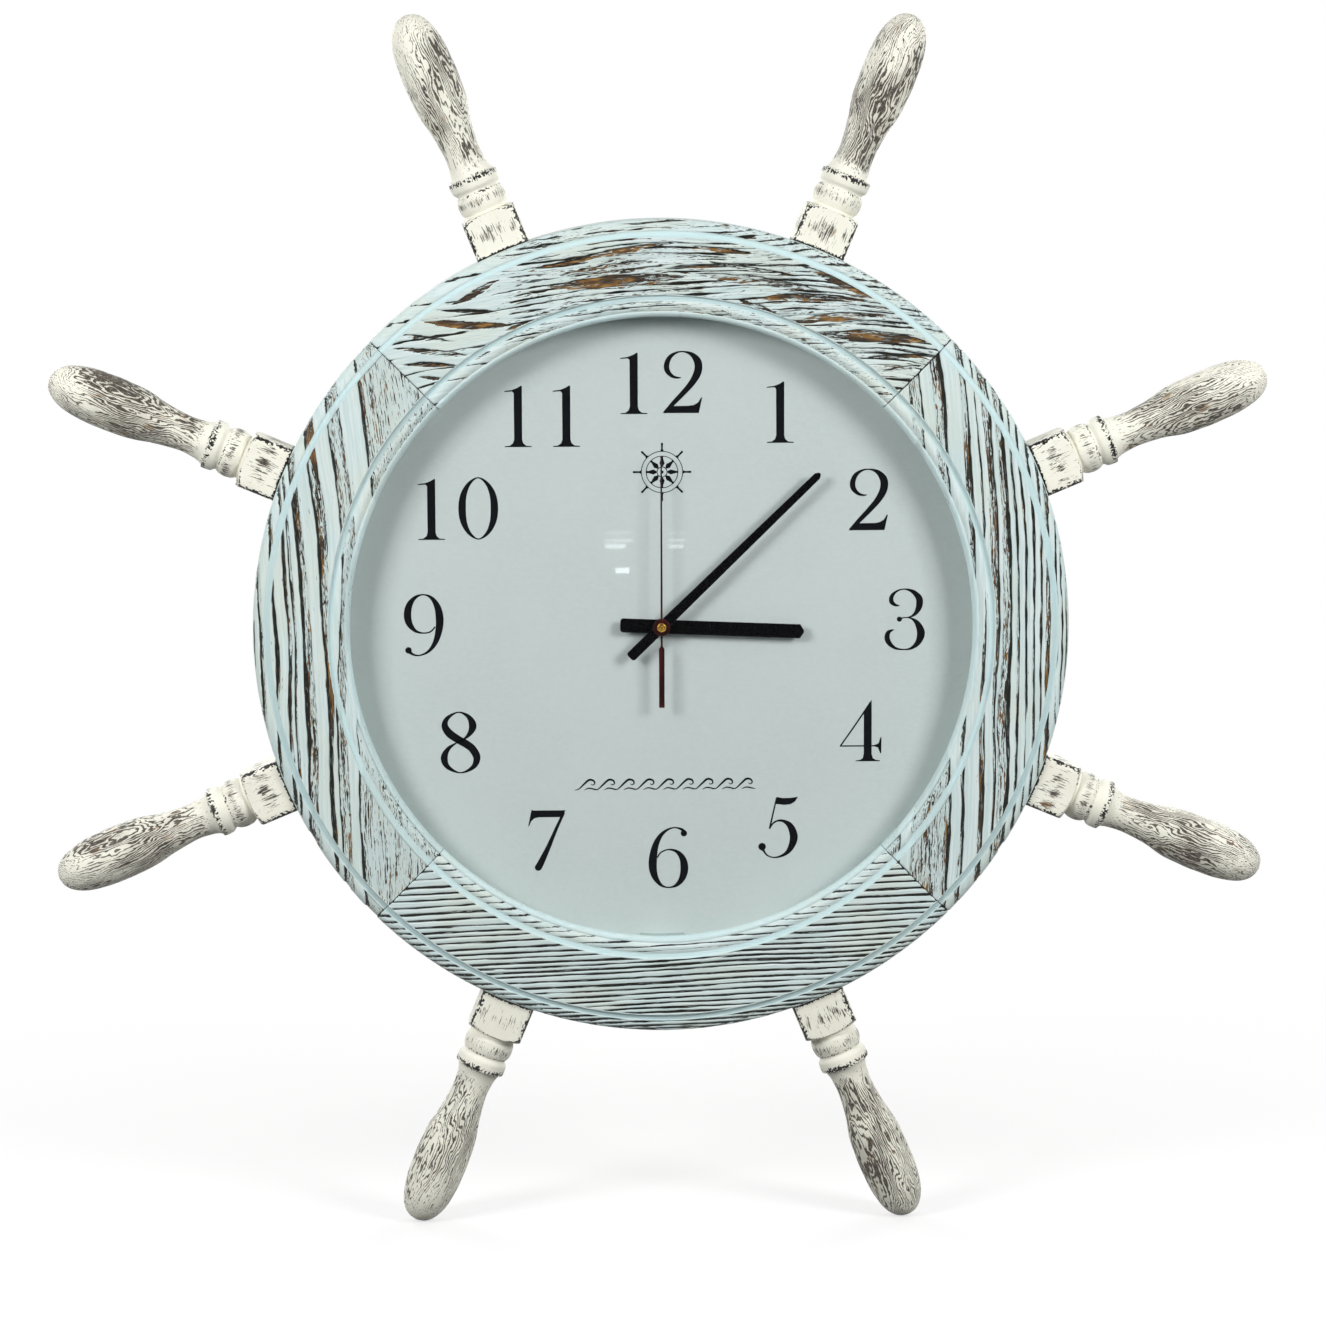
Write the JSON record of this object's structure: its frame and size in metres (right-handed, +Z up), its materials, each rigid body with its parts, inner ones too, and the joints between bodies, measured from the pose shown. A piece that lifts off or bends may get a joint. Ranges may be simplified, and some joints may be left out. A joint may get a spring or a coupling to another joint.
{
  "type": "ship wheel wall clock",
  "caption": "Wall clock in the form of a ship's wheel: mitred moulded rim, turned handles, numeral dial behind glass, hour, minute and second hands, quartz movement.",
  "frame": {"origin": "on the hands' axis, half way through the rim's thickness, which is the middle of the whole clock's box", "axes": "+Z up to 12 o'clock, -Y the way the dial faces, +X to 3 o'clock; +Y into the wall"},
  "size_m": [0.7054, 0.046, 0.7054],
  "materials": {
    "aqua_wood": "pale aqua blue paint, worn through along the grain",
    "bare_wood": "bare",
    "cream_wood": "cream white paint, distressed",
    "clear_glass": "clear",
    "printed_paper": "printed, satin",
    "fibreboard": "bare pressed board",
    "black_paint": "satin black",
    "maroon_paint": "gloss dark maroon",
    "brass": "turned",
    "plated_steel": "nickel plated",
    "black_plastic": "moulded",
    "white_plastic": "moulded acetal",
    "magnet": "sintered",
    "soft_iron": "stamped",
    "copper_wire": "enamelled copper wire",
    "circuit_laminate": "green solder mask",
    "battery_sleeve": "plain sleeve"
  },
  "bodies": {
    "root": {"rim_top": "aqua_wood", "rim_right": "aqua_wood", "rim_bottom": "aqua_wood", "rim_left": "aqua_wood", "mitre_splines": "bare_wood", "glass_blocks": "bare_wood", "handle_1": "cream_wood", "handle_2": "cream_wood", "handle_3": "cream_wood", "handle_4": "cream_wood", "handle_5": "cream_wood", "handle_6": "cream_wood", "handle_7": "cream_wood", "handle_8": "cream_wood", "hanger_plate": "plated_steel", "glass": "clear_glass", "dial_face": "printed_paper", "dial_board": "fibreboard", "movement_case": "black_plastic", "movement_lid": "black_plastic", "circuit_board": "circuit_laminate", "quartz_crystal": "plated_steel", "stator": "soft_iron", "coil": "copper_wire", "battery_contacts": "plated_steel"},
    "second_hand": {"second_hand": "maroon_paint", "second_hand_boss": "brass", "second_wheel": "white_plastic"},
    "fifth_wheel": {"fifth_wheel": "white_plastic"},
    "rotor": {"rotor": "magnet"},
    "third_wheel": {"third_wheel": "white_plastic"},
    "minute_drive_wheel": {"minute_drive_wheel": "white_plastic"},
    "minute_hand": {"minute_hand": "black_paint", "hand_nut": "black_paint", "cannon_pinion": "brass"},
    "motion_wheel": {"motion_wheel": "white_plastic"},
    "hour_hand": {"hour_hand": "black_paint", "hour_wheel": "white_plastic"},
    "setting_knob": {"setting_knob": "black_plastic"},
    "battery": {"battery": "battery_sleeve"}
  },
  "joints": [
    {"name": "second_hand_turn", "type": "hinge", "parent": "root", "child": "second_hand", "pos_m": [0, 0, 0], "axis": [0, 1, 0], "continuous": true},
    {"name": "fifth_wheel_turn", "type": "hinge", "parent": "root", "child": "fifth_wheel", "pos_m": [0.00924, 0, 0], "axis": [0, 1, 0], "continuous": true},
    {"name": "rotor_turn", "type": "hinge", "parent": "root", "child": "rotor", "pos_m": [0.01431, 0, 0.00185], "axis": [0, 1, 0], "continuous": true},
    {"name": "third_wheel_turn", "type": "hinge", "parent": "root", "child": "third_wheel", "pos_m": [-0.00159, 0, 0.00904], "axis": [0, 1, 0], "continuous": true},
    {"name": "minute_drive_wheel_turn", "type": "hinge", "parent": "root", "child": "minute_drive_wheel", "pos_m": [0, 0, 0], "axis": [0, 1, 0], "continuous": true},
    {"name": "minute_hand_turn", "type": "hinge", "parent": "root", "child": "minute_hand", "pos_m": [0, 0, 0], "axis": [0, 1, 0], "continuous": true},
    {"name": "motion_wheel_turn", "type": "hinge", "parent": "root", "child": "motion_wheel", "pos_m": [-0.00945, 0, -0.00167], "axis": [0, 1, 0], "continuous": true},
    {"name": "hour_hand_turn", "type": "hinge", "parent": "root", "child": "hour_hand", "pos_m": [0, 0, 0], "axis": [0, 1, 0], "continuous": true},
    {"name": "setting_knob_turn", "type": "hinge", "parent": "root", "child": "setting_knob", "pos_m": [-0.01965, 0, -0.00167], "axis": [0, 1, 0], "continuous": true},
    {"name": "battery_lift", "type": "slide", "parent": "root", "child": "battery", "axis": [0, 1, 0], "range_m": [0, 0.03]}
  ],
  "couplings": [
    {"joint": "fifth_wheel_turn", "follows": "second_hand_turn", "ratio": -6},
    {"joint": "rotor_turn", "follows": "second_hand_turn", "ratio": 30},
    {"joint": "third_wheel_turn", "follows": "second_hand_turn", "ratio": -0.13333},
    {"joint": "minute_drive_wheel_turn", "follows": "second_hand_turn", "ratio": 0.016667},
    {"joint": "motion_wheel_turn", "follows": "minute_hand_turn", "ratio": -0.33333},
    {"joint": "hour_hand_turn", "follows": "minute_hand_turn", "ratio": 0.083333},
    {"joint": "setting_knob_turn", "follows": "minute_hand_turn", "ratio": 0.8}
  ]
}
